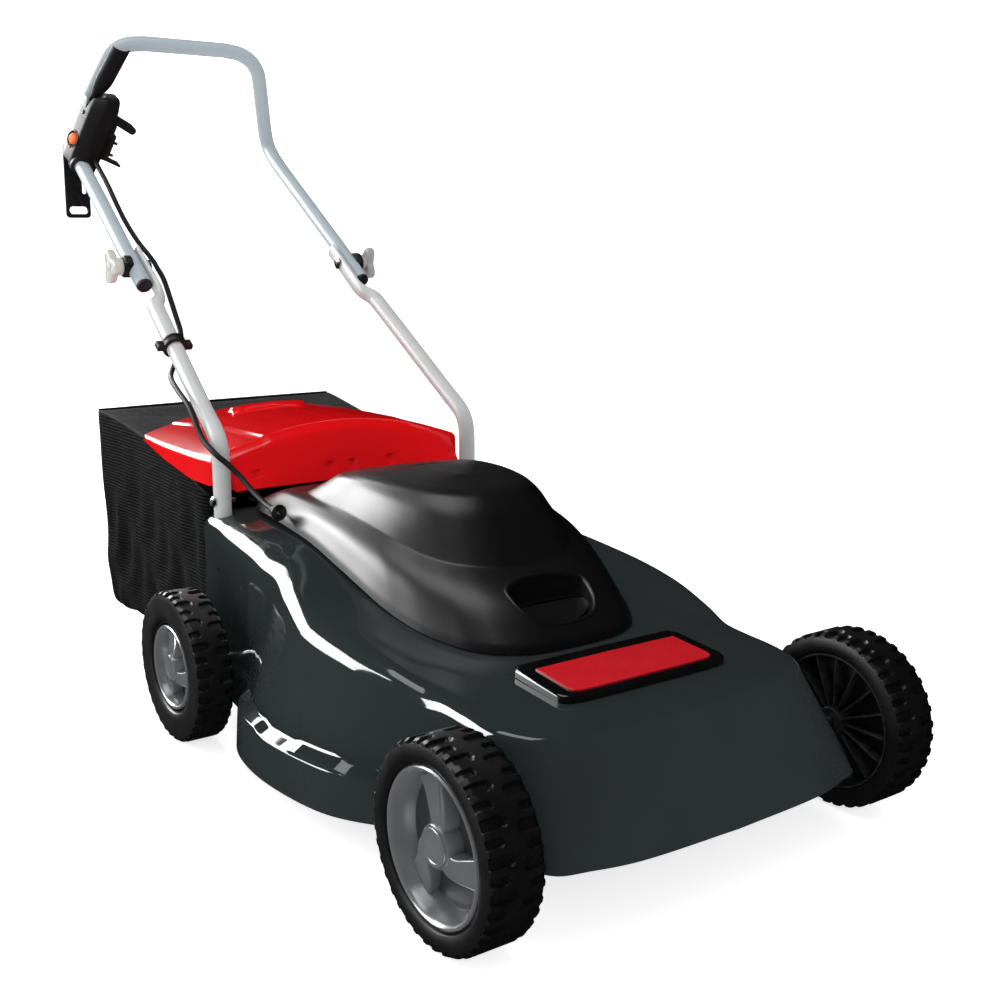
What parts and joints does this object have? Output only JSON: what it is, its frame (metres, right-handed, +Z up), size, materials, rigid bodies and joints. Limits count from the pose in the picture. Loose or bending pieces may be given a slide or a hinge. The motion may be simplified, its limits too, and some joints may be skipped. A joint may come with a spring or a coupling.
{
  "type": "electric lawn mower",
  "caption": "Walk-behind electric rotary lawn mower with a steel deck, folding handle, side wheels, rear flap and grass bag.",
  "frame": {"origin": "on the ground under the middle of the mower's outer box", "axes": "+Z up, -Y is the direction of travel, so the handle and the grass bag are towards +Y, and the switch box is on the -X side"},
  "size_m": [0.5674, 1.2848, 0.8779],
  "materials": {
    "deck_paint": "gloss dark green-grey enamel",
    "cover_plastic": "satin moulded plastic",
    "black_plastic": "satin moulded plastic",
    "flap_red": "gloss moulded plastic",
    "badge_red": "gloss plate with no lettering",
    "button_orange": "satin moulded plastic",
    "tube_silver": "silver-white powder coat",
    "tube_blue_grey": "pale blue-grey powder coat",
    "knob_white": "off-white moulded plastic",
    "knob_grey": "grey moulded plastic",
    "rim_grey": "satin grey moulded plastic",
    "tyre_rubber": "moulded tread",
    "steel": "zinc plated",
    "lamination": "stacked sheet",
    "brass": "plain",
    "aluminium": "as cast",
    "fabric_black": "woven polyester mesh",
    "cable_black": "smooth sheath"
  },
  "bodies": {
    "chassis": {"deck": "deck_paint", "motor_cover": "cover_plastic", "badge_plate": "black_plastic", "badge_insert": "badge_red", "motor_end_plate": "aluminium", "motor_can": "black_plastic", "stator_core": "lamination", "bearing_lower": "steel", "bearing_upper": "steel", "capacitor": "aluminium", "front_axle": "steel", "rear_axle": "steel", "flap_hinge_pin": "steel", "hinge_bracket": "black_plastic", "flap_spring": "steel", "lower_tube_left": "tube_silver", "lower_tube_right": "tube_silver", "foot_bolt_left": "steel", "foot_bolt_right": "steel", "fold_bolt_left": "steel", "fold_bolt_right": "steel", "cable_lower": "cable_black", "cable_clip": "black_plastic", "cable_gland": "black_plastic"},
    "upper_handle": {"upper_tube": "tube_blue_grey", "switch_case": "black_plastic", "switch_cover": "black_plastic", "inlet_shroud": "black_plastic", "inlet_pin_upper": "brass", "inlet_pin_lower": "brass", "saddle_washer_left": "black_plastic", "saddle_washer_right": "black_plastic", "end_cap_left": "black_plastic", "end_cap_right": "black_plastic", "cord_hook": "black_plastic", "cable_upper": "cable_black"},
    "lever": {"stop_lever": "black_plastic"},
    "button": {"lock_button": "button_orange"},
    "knob_left": {"knob_left": "knob_white"},
    "knob_right": {"knob_right": "knob_grey"},
    "rotor": {"rotor_shaft": "steel", "rotor_core": "lamination", "fan": "black_plastic", "blade_hub": "aluminium", "blade": "steel", "blade_bolt": "steel"},
    "flap": {"rear_flap": "flap_red"},
    "bag": {"bag_shell": "fabric_black", "bag_frame": "steel"},
    "wheel_front_left": {"tyre_front_left": "tyre_rubber", "rim_front_left": "rim_grey", "hub_cap_front_left": "rim_grey"},
    "wheel_front_right": {"tyre_front_right": "tyre_rubber", "rim_front_right": "rim_grey", "hub_cap_front_right": "rim_grey"},
    "wheel_rear_left": {"tyre_rear_left": "tyre_rubber", "rim_rear_left": "rim_grey"},
    "wheel_rear_right": {"tyre_rear_right": "tyre_rubber", "rim_rear_right": "rim_grey"}
  },
  "joints": [
    {"name": "handle_fold", "type": "hinge", "parent": "chassis", "child": "upper_handle", "pos_m": [0, 0.3755, 0.5485], "axis": [1, 0, 0], "range_deg": [0, 130]},
    {"name": "lever_squeeze", "type": "hinge", "parent": "upper_handle", "child": "lever", "pos_m": [-0.14461, 0.57701, 0.78114], "axis": [-0.9468, 0, 0.3219], "range_deg": [0, 24], "stiffness_Nm_per_rad": 0.35, "springref_deg": -20.05},
    {"name": "lock_button_press", "type": "slide", "parent": "upper_handle", "child": "button", "axis": [0.9468, 0, -0.3219], "range_m": [0, 0.004], "stiffness_N_per_m": 500, "springref_m": -0.002},
    {"name": "knob_left_turn", "type": "hinge", "parent": "chassis", "child": "knob_left", "pos_m": [-0.2, 0.3755, 0.5485], "axis": [-1, 0, 0], "continuous": true},
    {"name": "knob_right_turn", "type": "hinge", "parent": "chassis", "child": "knob_right", "pos_m": [0.2, 0.3755, 0.5485], "axis": [1, 0, 0], "continuous": true},
    {"name": "rotor_spin", "type": "hinge", "parent": "chassis", "child": "rotor", "pos_m": [0, -0.1965, 0.048], "axis": [0, 0, 1], "continuous": true},
    {"name": "flap_lift", "type": "hinge", "parent": "chassis", "child": "flap", "pos_m": [0, 0.0965, 0.311], "axis": [1, 0, 0], "range_deg": [0, 30], "stiffness_Nm_per_rad": 0.5, "springref_deg": -34.38},
    {"name": "bag_release", "type": "slide", "parent": "chassis", "child": "bag", "axis": [0, 1, 0], "range_m": [0, 0.35]},
    {"name": "wheel_front_left_roll", "type": "hinge", "parent": "chassis", "child": "wheel_front_left", "pos_m": [-0.2837, -0.5465, 0.095], "axis": [1, 0, 0], "continuous": true},
    {"name": "wheel_front_right_roll", "type": "hinge", "parent": "chassis", "child": "wheel_front_right", "pos_m": [0.2837, -0.5465, 0.095], "axis": [1, 0, 0], "continuous": true},
    {"name": "wheel_rear_left_roll", "type": "hinge", "parent": "chassis", "child": "wheel_rear_left", "pos_m": [-0.2837, 0.0245, 0.0908], "axis": [1, 0, 0], "continuous": true},
    {"name": "wheel_rear_right_roll", "type": "hinge", "parent": "chassis", "child": "wheel_rear_right", "pos_m": [0.2837, 0.0245, 0.0908], "axis": [1, 0, 0], "continuous": true}
  ]
}
